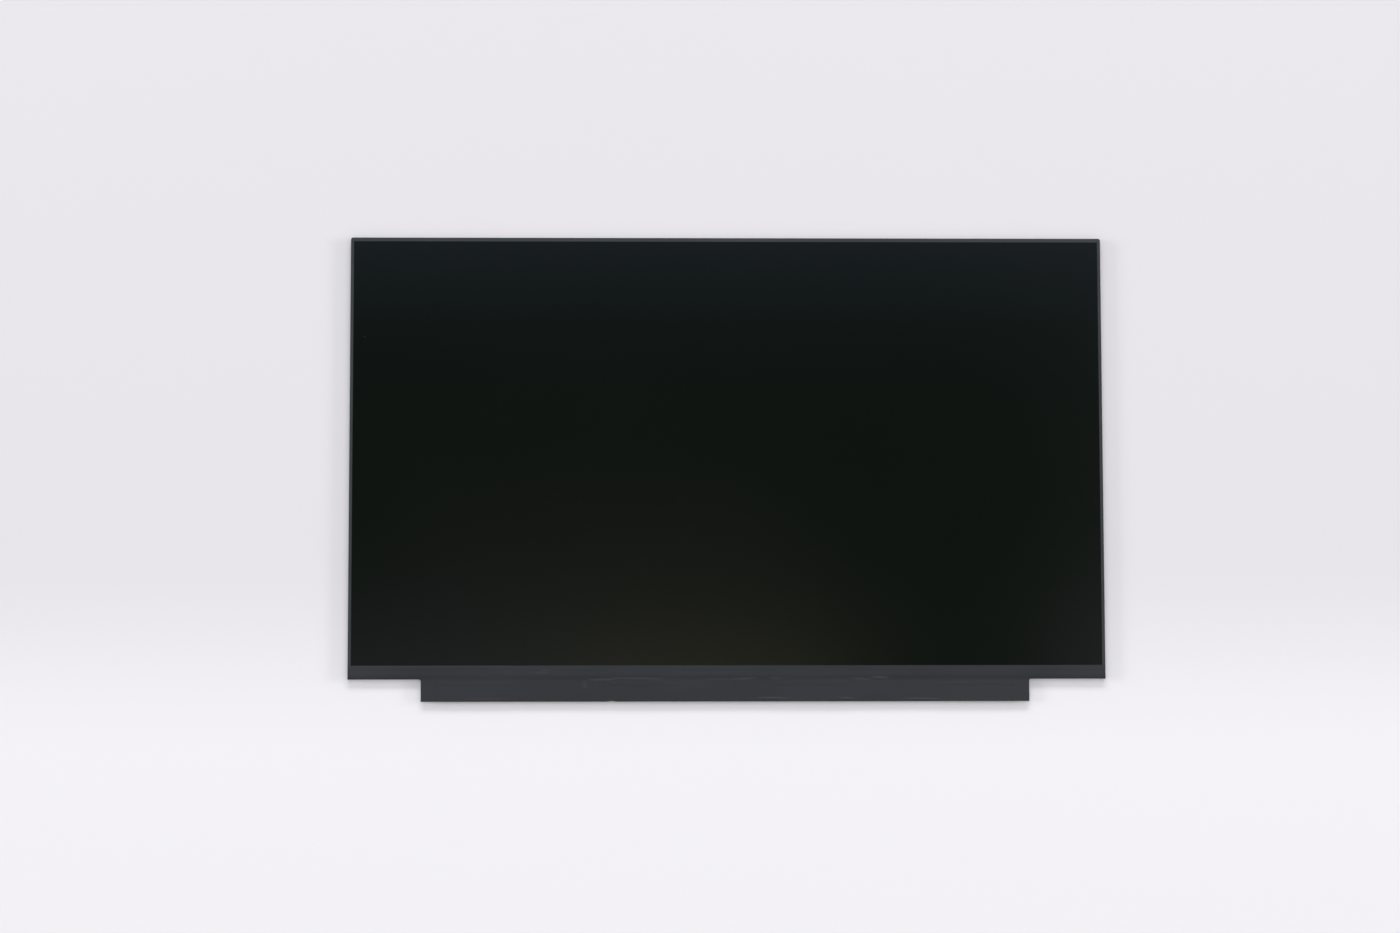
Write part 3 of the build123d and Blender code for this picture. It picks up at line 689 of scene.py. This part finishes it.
def make_cover_tape():
    """Black film over the ledge and the board: draped, creased at the glass edge and nicked once."""
    bm = flat_cover()
    painted_highlight_and_paleness = bm.verts.layers.float.new("crease")
    for vert in bm.verts:
        x, y = vert.co.xy
        rise, crease_highlight = crease_at(x, y)
        upright, curl, nick = upright_at(x, y), curl_at(x, y), nick_at(x, y)
        height = drape(x, y) + cover_tape_sheet + rise + waves_at(x, y)
        height += upright_rise * upright + curl_rise * curl + nick_rise * nick
        vert.co.y += nick_depth * nick
        vert.co.z = min(height, screen_high.z) - droop(x, y)
        # Painted highlight: the creases, the crease up the tab, the lifted edge and the nick are drawn
        # paler where they catch the light, and the film is paler towards its ends.
        vert[painted_highlight_and_paleness] = max(crease_highlight, upright_highlight * upright, curl_highlight * curl, nick, paleness_at(x, y))
    bmesh.ops.solidify(bm, geom=bm.faces[:], thickness=cover_tape_sheet)
    settle("ledge_cover_tape", bm, [cover_finish], "black_tape", "cover_tape")


# Edge tapes: their ripple, which calms down towards their ends
ripple_length = 11 * MM
wall_ripple = 0.012 * MM
cut_wave = 0.035 * MM
cut_bias = 0.6
calm_ends = (4 * MM, 12 * MM)
edge_tape_step = 2.2 * MM


def closed_edges(bm, axis, place):
    """Edges between two faces that lie at one place along an axis."""
    closed = [edge for edge in bm.edges if len(edge.link_faces) == 2]
    return [edge for edge in closed if all(abs(vert.co[axis] - place) < same_place for vert in edge.verts)]


def edge_skin():
    """The three tapes' outer face as one skin: rounded upper corners, bent edges, and cuts at every lap."""
    low = Vector((-side_high.x, notch_y, side_low.z))
    high = Vector((side_high.x, top_high.y, side_high.z))
    bm = bmesh.new()
    sharp_box(bm, low, high)
    lower_end = min(bm.faces, key=lambda face: face.calc_center_median().y)
    bmesh.ops.delete(bm, geom=[lower_end], context="FACES_ONLY")
    uprights = [edge for edge in closed_edges(bm, 1, high.y) if edge.calc_length() < high.x]
    round_off(bm, uprights, outline_corner, steps=8)
    round_off(bm, closed_edges(bm, 2, low.z), rear_bend, steps=6)
    round_off(bm, closed_edges(bm, 2, high.z), front_bend, steps=5)
    splits = [high.y - top_front_lap, high.y - rear_lap]
    slices(bm, 1, splits + [split - lap_gap for split in splits] + [cover_high.y + lap_gap])
    for lap in (side_front_lap, rear_lap):
        slices(bm, 0, [low.x + lap, high.x - lap])
    return bm


def tape_at(spot):
    """Which tape a spot of the skin is on: none in its windows, between tapes and under the cover tape."""
    down = top_high.y - spot.y
    inward = side_high.x - abs(spot.x)
    on_front = spot.z > side_high.z - same_place
    on_rear = spot.z < side_low.z + same_place
    upper_lap = rear_lap if spot.z < side_low.z + rear_bend else top_front_lap
    in_front_window = on_front and inward > side_front_lap and down > top_front_lap
    in_rear_window = on_rear and inward > rear_lap and down > rear_lap
    under_cover = on_front and spot.y < cover_high.y + lap_gap
    between_tapes = upper_lap < down < upper_lap + lap_gap
    if in_front_window or in_rear_window or under_cover or between_tapes:
        return None
    if down < upper_lap:
        return "top_edge_tape"
    return "right_edge_tape" if spot.x > 0 else "left_edge_tape"


def make_edge_tape(name, node, skin, along, outward, reach, front_lap):
    """One tape of the skin, with a wavy cut along its front lap and a little ripple in its wall."""
    bm = skin.copy()
    others = [face for face in bm.faces if tape_at(face.calc_center_median()) != node]
    bmesh.ops.delete(bm, geom=others, context="FACES")
    ends = [vert.co[along] for vert in bm.verts]
    slices(bm, along, spaced(min(ends), max(ends), edge_tape_step))
    for vert in bm.verts:
        out, up, run = vert.co.dot(outward), vert.co.z, vert.co[along]
        calm = ease(max(ends) - abs(run), *calm_ends)
        ripple = noise.noise(Vector((run / ripple_length, reach / MM, up / MM)))
        if side_low.z + same_place < up < side_high.z - same_place:
            vert.co -= outward * wall_ripple * (1 + ripple) * calm
        elif up > side_low.z + same_place and out < reach - front_lap + same_place:
            vert.co += outward * cut_wave * (cut_bias - ripple) * calm
    bmesh.ops.solidify(bm, geom=bm.faces[:], thickness=edge_tape_sheet)
    settle(name, bm, [edge_finish], "black_tape", node)


def make_edge_tapes():
    """The right, left and upper tapes, cut from one skin."""
    skin = edge_skin()
    right, left, up = Vector((1, 0, 0)), Vector((-1, 0, 0)), Vector((0, 1, 0))
    make_edge_tape("right_edge_fold", "right_edge_tape", skin, 1, right, side_high.x, side_front_lap)
    make_edge_tape("left_edge_fold", "left_edge_tape", skin, 1, left, side_high.x, side_front_lap)
    make_edge_tape("upper_edge_fold", "top_edge_tape", skin, 0, up, top_high.y, top_front_lap)
    skin.free()


# Parts on the rear of the board. Their upper faces point down, towards -Z, and they stand on board_low.z.
# A part's finishes are its body's and then its tinned metal's.
tinned = 1
pad_sheet = 0.03 * MM
lead_pitch = 0.5 * MM


def solder_pad(bm, low, high):
    """A tinned pad just proud of the board."""
    pad_low = Vector((low.x, low.y, board_low.z - pad_sheet))
    pad_high = Vector((high.x, high.y, board_low.z))
    block(bm, pad_low, pad_high, pad_sheet / 3, finish=tinned)


def end_capped(bm, low, high):
    """A chip part: its body, two tinned ends, their solder and pads, along its longer side."""
    cap_share, rise_share = 0.24, 0.45
    body_rounding, cap_rounding, solder_rounding = 0.04 * MM, 0.06 * MM, 0.09 * MM
    cap_sheet, solder_reach, pad_margin = 0.02 * MM, 0.24 * MM, Vector((0.05 * MM, 0.05 * MM, 0))
    axis = 0 if high.x - low.x > high.y - low.y else 1
    cap = cap_share * (high[axis] - low[axis])
    inset = Vector((cap_sheet, cap_sheet, cap_sheet))
    inset[axis] = cap / 2
    block(bm, low + inset, high - Vector((inset.x, inset.y, 0)), body_rounding)
    for end, direction in ((low[axis], -1), (high[axis], 1)):
        cap_low, cap_high = stretched(low, high, axis, end - direction * cap, end)
        block(bm, cap_low, cap_high, cap_rounding, steps=2, finish=tinned)
        reach = end + direction * solder_reach
        fillet_low, fillet_high = stretched(low, high, axis, end - direction * cap / 2, reach)
        fillet_low.z = high.z - rise_share * (high.z - low.z)
        block(bm, fillet_low, fillet_high, solder_rounding, steps=2, finish=tinned)
        solder_pad(bm, fillet_low - pad_margin, fillet_high + pad_margin)


def make_end_capped(name, node, body_finish, slot):
    bm = bmesh.new()
    for low, high in solid_boxes(node):
        end_capped(bm, low, high)
    settle(name, bm, [body_finish, tin_finish], slot, node)


def pin_mark(bm, faces, low, size):
    """A shallow round dimple beside one corner of a package's upper face."""
    rim, radius, wall, depth = 0.08 * size, 0.40 * size, 0.05 * size, 0.03 * MM
    corner = low + Vector((size, size, 0))
    middle = corner + Vector((size / 2, size / 2, 0))
    cut = [min(faces, key=lambda face: face.calc_center_median().z)]
    for axis in (0, 1):
        for place in (corner[axis], corner[axis] + size):
            parts = dict.fromkeys(part for face in cut for part in (face, *face.edges, *face.verts))
            kept = cut_across(bm, list(parts), axis, place)
            cut = [part for part in kept if isinstance(part, bmesh.types.BMFace)]
    spot = min(cut, key=lambda face: (face.calc_center_median() - middle).length)
    bmesh.ops.subdivide_edges(bm, edges=spot.edges[:], cuts=3)
    bmesh.ops.inset_region(bm, faces=[spot], thickness=rim)
    for vert in spot.verts:
        vert.co.xy = middle.xy + (vert.co - middle).to_2d().normalized() * radius
    bmesh.ops.inset_region(bm, faces=[spot], thickness=wall)
    bmesh.ops.translate(bm, vec=(0, 0, depth), verts=spot.verts)


def make_package(name, node, end_margin, sides):
    """A moulded chip with tinned lands along its sides, standing on soldered pads."""
    land_width, land_reach, land_rise, land_proud = 0.55 * lead_pitch, 0.28 * MM, 0.20 * MM, 0.03 * MM
    body_rounding, land_rounding, mark_share = 0.06 * MM, 0.012 * MM, 0.11
    low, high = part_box(node)
    bm = bmesh.new()
    body = block(bm, low, high, body_rounding, steps=2)
    pin_mark(bm, body, low, mark_share * (high.y - low.y))
    for axis in sides:
        across = 1 - axis
        span = high[axis] - low[axis] - 2 * end_margin
        count = round(span / lead_pitch)
        for edge, direction in ((low[across], -1), (high[across], 1)):
            inner = edge - direction * land_reach / 2
            for place in range(count + 1):
                middle = low[axis] + end_margin + span * place / count
                land = stretched(low, high, axis, middle - land_width / 2, middle + land_width / 2)
                land[0].z = high.z - land_rise
                land_low, land_high = stretched(*land, across, inner, edge + direction * land_proud)
                block(bm, land_low, land_high, land_rounding, finish=tinned)
                solder_pad(bm, *stretched(*land, across, inner, edge + direction * land_reach))
    settle(name, bm, [package_finish, tin_finish], "chip_black", node)


def make_coils():
    """Moulded coils: rounded powder bodies with a stepped crown and a wrapped terminal at each end."""
    terminal_reach, terminal_sheet, pad_reach = 0.75 * MM, 0.05 * MM, 0.45 * MM
    rise_share, half_share, pad_share = 0.55, 0.34, 1.2
    body_rounding, crown_rounding = 0.22 * MM, 0.25 * MM
    crown, step = Vector((0, 0, 0.12 * MM)), Vector((0.18 * MM, 0.18 * MM, 0))
    bm = bmesh.new()
    for low, high in solid_boxes("power_inductors"):
        block(bm, low + crown, high, body_rounding, steps=3)
        block(bm, low + step, high - step - crown, crown_rounding, steps=3)
        terminal_top = high.z - rise_share * (high.z - low.z)
        middle, half = (low.y + high.y) / 2, half_share * (high.y - low.y)
        terminal = Vector((0, middle - half, terminal_top)), Vector((0, middle + half, high.z))
        pad = Vector((0, middle - pad_share * half, 0)), Vector((0, middle + pad_share * half, 0))
        for end, direction in ((low.x, -1), (high.x, 1)):
            inner = end - direction * terminal_reach
            terminal_low, terminal_high = stretched(*terminal, 0, inner, end + direction * terminal_sheet)
            block(bm, terminal_low, terminal_high, terminal_sheet / 2, steps=2, finish=tinned)
            solder_pad(bm, *stretched(*pad, 0, inner, end + direction * pad_reach))
    settle("moulded_coils", bm, [core_finish, tin_finish], "ferrite", "power_inductors")


def make_diode():
    """Two-ended rectifier: black body with flat tinned leads."""
    low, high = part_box("rectifier_diode")
    lead_reach, lead_root, lead_sheet, pad_shift = 0.32 * MM, 0.3 * MM, 0.12 * MM, 0.1 * MM
    half_share, pad_share, body_rounding, lead_rounding = 0.25, 1.5, 0.08 * MM, 0.03 * MM
    body_inset = Vector((0, 0.12 * MM, 0))
    middle, half = (low.x + high.x) / 2, half_share * (high.x - low.x)
    lead = Vector((middle - half, 0, high.z - lead_sheet)), Vector((middle + half, 0, high.z))
    pad = Vector((middle - pad_share * half, 0, 0)), Vector((middle + pad_share * half, 0, 0))
    bm = bmesh.new()
    block(bm, low + body_inset, high - body_inset, body_rounding, steps=2)
    for end, direction in ((low.y, -1), (high.y, 1)):
        root, tip = end - direction * lead_root, end + direction * lead_reach
        lead_low, lead_high = stretched(*lead, 1, root, tip)
        block(bm, lead_low, lead_high, lead_rounding, finish=tinned)
        pad_low, pad_high = stretched(*pad, 1, root, tip)
        pad_high.y += direction * pad_shift
        solder_pad(bm, pad_low, pad_high)
    settle("lead_ended_diode", bm, [package_finish, tin_finish], "chip_black", "rectifier_diode")


def make_socket_solder():
    """Solder at the tail of each contact and along the shell's feet."""
    tail_length, tail_rise, past_tail, past_side = 0.55 * MM, 0.13 * MM, 0.22 * MM, 0.03 * MM
    foot_inset, foot_half, foot_rise = 0.75 * MM, 0.65 * MM, 0.10 * MM
    foot_reach, past_foot, rounding = 0.8 * MM, 0.22 * MM, 0.045 * MM
    bm = bmesh.new()
    for low, high in solid_boxes("signal_socket_contacts"):
        tail_start = Vector((low.x - past_side, high.y - tail_length, high.z - tail_rise))
        tail_end = Vector((high.x + past_side, high.y + past_tail, high.z))
        block(bm, tail_start, tail_end, rounding, steps=2)
    low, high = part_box("signal_socket_shell")
    for side, direction in ((low.x, 1), (high.x, -1)):
        ends = side - direction * past_foot, side + direction * foot_reach
        for foot_y in (low.y + foot_inset, high.y - foot_inset):
            foot_start = Vector((0, foot_y - foot_half, high.z - foot_rise))
            foot_end = Vector((0, foot_y + foot_half, high.z))
            foot_low, foot_high = stretched(foot_start, foot_end, 0, *ends)
            block(bm, foot_low, foot_high, rounding, steps=2)
    settle("socket_solder", bm, [tin_finish], "shell_steel")


def make_tail_joints():
    """Row of soldered lands where the light source's flex tail meets the board."""
    land_count, land_pitch, land_width, land_length = 6, 1.5 * MM, 0.8 * MM, 1.1 * MM
    land_rise, past_tail, rounding = 0.22 * MM, 0.45 * MM, 0.10 * MM
    tail_x = (driver_boxes[2][0].x + driver_boxes[3][1].x) / 2
    bm = bmesh.new()
    for place in range(land_count):
        middle = tail_x + land_pitch * (place - (land_count - 1) / 2)
        low = Vector((middle - land_width / 2, tail_low.y - past_tail, board_low.z - land_rise))
        high = Vector((middle + land_width / 2, tail_low.y + land_length, board_low.z))
        block(bm, low, high, rounding, steps=3)
    settle("tail_joints", bm, [tin_finish], "shell_steel")


def make_board_lands():
    """Plated rings round the tooling holes and rows of round test lands along the lower edge."""
    ring_inner, ring_outer, hole_inset = 0.8 * MM, 1.35 * MM, 3.4 * MM
    land_radius, land_pitch, land_inset = 0.45 * MM, 2.2 * MM, 1.3 * MM
    land_rows = ((-62 * MM, 9), (12 * MM, 5), (100 * MM, 7))
    board_middle = (board_low.y + board_high.y) / 2
    land_z = board_low.z - pad_sheet / 2
    bm = bmesh.new()
    for hole_x in (board_low.x + hole_inset, board_high.x - hole_inset):
        ring = bmesh.ops.create_circle(bm, segments=32, radius=ring_outer)["verts"]
        ring += bmesh.ops.create_circle(bm, segments=32, radius=ring_inner)["verts"]
        bmesh.ops.translate(bm, vec=(hole_x, board_middle, land_z), verts=ring)
        bmesh.ops.bridge_loops(bm, edges=edges_of(ring))
    for first_x, count in land_rows:
        for place in range(count):
            disc = bmesh.ops.create_circle(bm, cap_ends=True, segments=20, radius=land_radius)["verts"]
            spot = (first_x + land_pitch * place, board_low.y + land_inset, land_z)
            bmesh.ops.translate(bm, vec=spot, verts=disc)
    for face in bm.faces:
        if face.normal.z > 0:
            face.normal_flip()
    bmesh.ops.solidify(bm, geom=bm.faces[:], thickness=pad_sheet)
    settle("board_lands", bm, [gold_finish], "contact_gold")


make_screen()
make_cover_tape()
make_edge_tapes()
make_end_capped("row_capacitors", "ceramic_capacitors", ceramic_finish, "ceramic")
make_end_capped("bulk_capacitor_set", "bulk_capacitors", ceramic_finish, "ceramic")
make_end_capped("column_resistors", "chip_resistors", resistor_finish, "ceramic")
make_package("controller_package", "timing_controller", end_margin=0.75 * MM, sides=(0, 1))
make_package("memory_package", "memory_chip", end_margin=0.6 * MM, sides=(0,))
make_package("power_package", "power_chip", end_margin=0.7 * MM, sides=(0, 1))
make_package("light_driver_package", "led_driver_chip", end_margin=0.7 * MM, sides=(0, 1))
make_coils()
make_diode()
make_socket_solder()
make_tail_joints()
make_board_lands()

# Finishes of the solids that stay
kept_finishes = {
    "back_plate": plate_finish,
    "mould_frame": frame_finish,
    "rim_tape": bond_finish,
    "reflector_sheet": reflector_finish,
    "light_guide": guide_finish,
    "lower_diffuser": film_finish,
    "lower_prism_film": film_finish,
    "upper_prism_film": film_finish,
    "upper_diffuser": film_finish,
    "backlight_leds": diode_finish,
    "led_flex": flex_finish,
    "rear_polariser": bond_finish,
    "array_glass": glass_finish,
    "colour_filter_glass": glass_finish,
    "control_board": board_finish,
    "signal_socket_housing": socket_finish,
    "signal_socket_contacts": gold_finish,
    "signal_socket_shell": nickel_finish,
}
for place in source_places:
    kept_finishes[f"source_flex_{place}"] = flex_finish
    kept_finishes[f"source_driver_{place}"] = silicon_finish
for node, finish in kept_finishes.items():
    for slot in frame["nodes"][node].material_slots:
        slot.material = finish


# Floor, light and camera
def make_floor():
    """A wide pale floor just under the panel. Its colour is painted paler towards the lower part of the
    view, as painted light.
    """
    floor_radius, floor_drop, paler_from, paler_to = 14.0, 0.02 * MM, -0.035, -0.135
    finish = Finish("pale_floor", {"Specular IOR Level": 0.0, "Roughness": 0.9})
    patches = finish.cloud(0.9, detail=1.0)
    far = finish.blend(patches, rgb(0.790, 0.780, 0.783), rgb(0.820, 0.809, 0.813))
    # Painted light: the floor's colour brightens towards the lower part of the view in place of brighter
    # light there.
    painted_light_share = finish.ease(finish.axes(finish.place)[1], low=paler_from, high=paler_to)
    finish.feed(colour=finish.blend(painted_light_share, far, rgb(0.922, 0.913, 0.917)))
    bm = bmesh.new()
    bmesh.ops.create_circle(bm, cap_ends=True, segments=96, radius=floor_radius)
    bmesh.ops.translate(bm, vec=(0, 0, -floor_drop), verts=bm.verts[:])
    mesh = bpy.data.meshes.new("floor")
    bm.to_mesh(mesh)
    bm.free()
    mesh.materials.append(finish.material)
    floor = bpy.data.objects.new("floor", mesh)
    bpy.context.scene.collection.objects.link(floor)


def make_lamp(name, place, target, size, power, colour, mirrored):
    """A soft rectangular lamp that faces the target, and that glossy faces mirror or not."""
    lamp = bpy.data.lights.new(name, "AREA")
    lamp.shape = "RECTANGLE"
    lamp.size, lamp.size_y = size
    lamp.energy = power
    lamp.color = colour
    holder = bpy.data.objects.new(name, lamp)
    holder.location = place
    holder.rotation_euler = (Vector(target) - Vector(place)).to_track_quat("-Z", "Y").to_euler()
    holder.visible_glossy = mirrored
    bpy.context.scene.collection.objects.link(holder)


def make_sky():
    """Even pale light from all round."""
    world = bpy.data.worlds.new("pale_room")
    world.use_nodes = True
    sky = world.node_tree.nodes["Background"]
    sky.inputs["Color"].default_value = rgb(1.0, 0.99, 1.0)
    sky.inputs["Strength"].default_value = 0.46
    bpy.context.scene.world = world


def make_camera():
    """Camera at the photograph's place and angle, looking down on the panel."""
    turn = (4.708, -1.215, -0.089)
    lens = bpy.data.cameras.new("camera")
    lens.sensor_width = 36.0
    lens.lens = 75.52
    camera = bpy.data.objects.new("camera", lens)
    camera.location = (-41.6 * MM, -111.2 * MM, 1363.1 * MM)
    camera.rotation_euler = [math.radians(angle) for angle in turn]
    bpy.context.scene.collection.objects.link(camera)
    bpy.context.scene.camera = camera


# Lamps over the panel, facing straight down, for the screen's sheen: name, place, size, power and colour
sheen_lamps = [
    ("upper_lamp", (0.07, 0.61, 2.40), (2.0, 0.22), 6.8, (0.57, 0.64, 1.0)),
    ("left_lamp", (-0.31, -0.135, 2.00), (0.42, 0.20), 0.69, (0.85, 0.86, 1.0)),
    ("middle_lamp", (-0.10, 0.03, 2.04), (0.46, 0.30), 0.20, (1.0, 0.74, 0.80)),
    ("lower_lamp", (0.045, -0.135, 2.00), (0.29, 0.20), 0.40, (0.95, 0.90, 1.0)),
    ("warm_lamp", (0.035, -0.135, 2.02), (0.34, 0.20), 0.38, (1.0, 0.75, 0.05)),
    ("right_lamp", (0.57, 0.20, 2.00), (0.20, 0.86), 0.40, (0.90, 0.95, 1.0)),
    ("corner_lamp", (0.57, -0.12, 1.98), (0.24, 0.24), 0.54, (0.98, 0.90, 1.0)),
]
# Lamps round the room, which stay out of the screen: name, place, size and power
room_lamps = [
    ("key_lamp", (0.0, 4.60, 2.30), (4.0, 1.1), 146.0),
    ("left_side_lamp", (-4.50, 0.40, 1.30), (2.0, 0.8), 84.0),
    ("right_side_lamp", (4.50, 0.40, 1.30), (2.0, 0.8), 84.0),
]
room_light = (1.0, 0.99, 0.98)
make_floor()
make_sky()
for name, place, size, power, colour in sheen_lamps:
    make_lamp(name, place, (place[0], place[1], 0.0), size, power, colour, True)
for name, place, size, power in room_lamps:
    make_lamp(name, place, (0.0, 0.0, 0.0), size, power, room_light, False)
make_camera()
bpy.context.scene.view_settings.view_transform = "Standard"
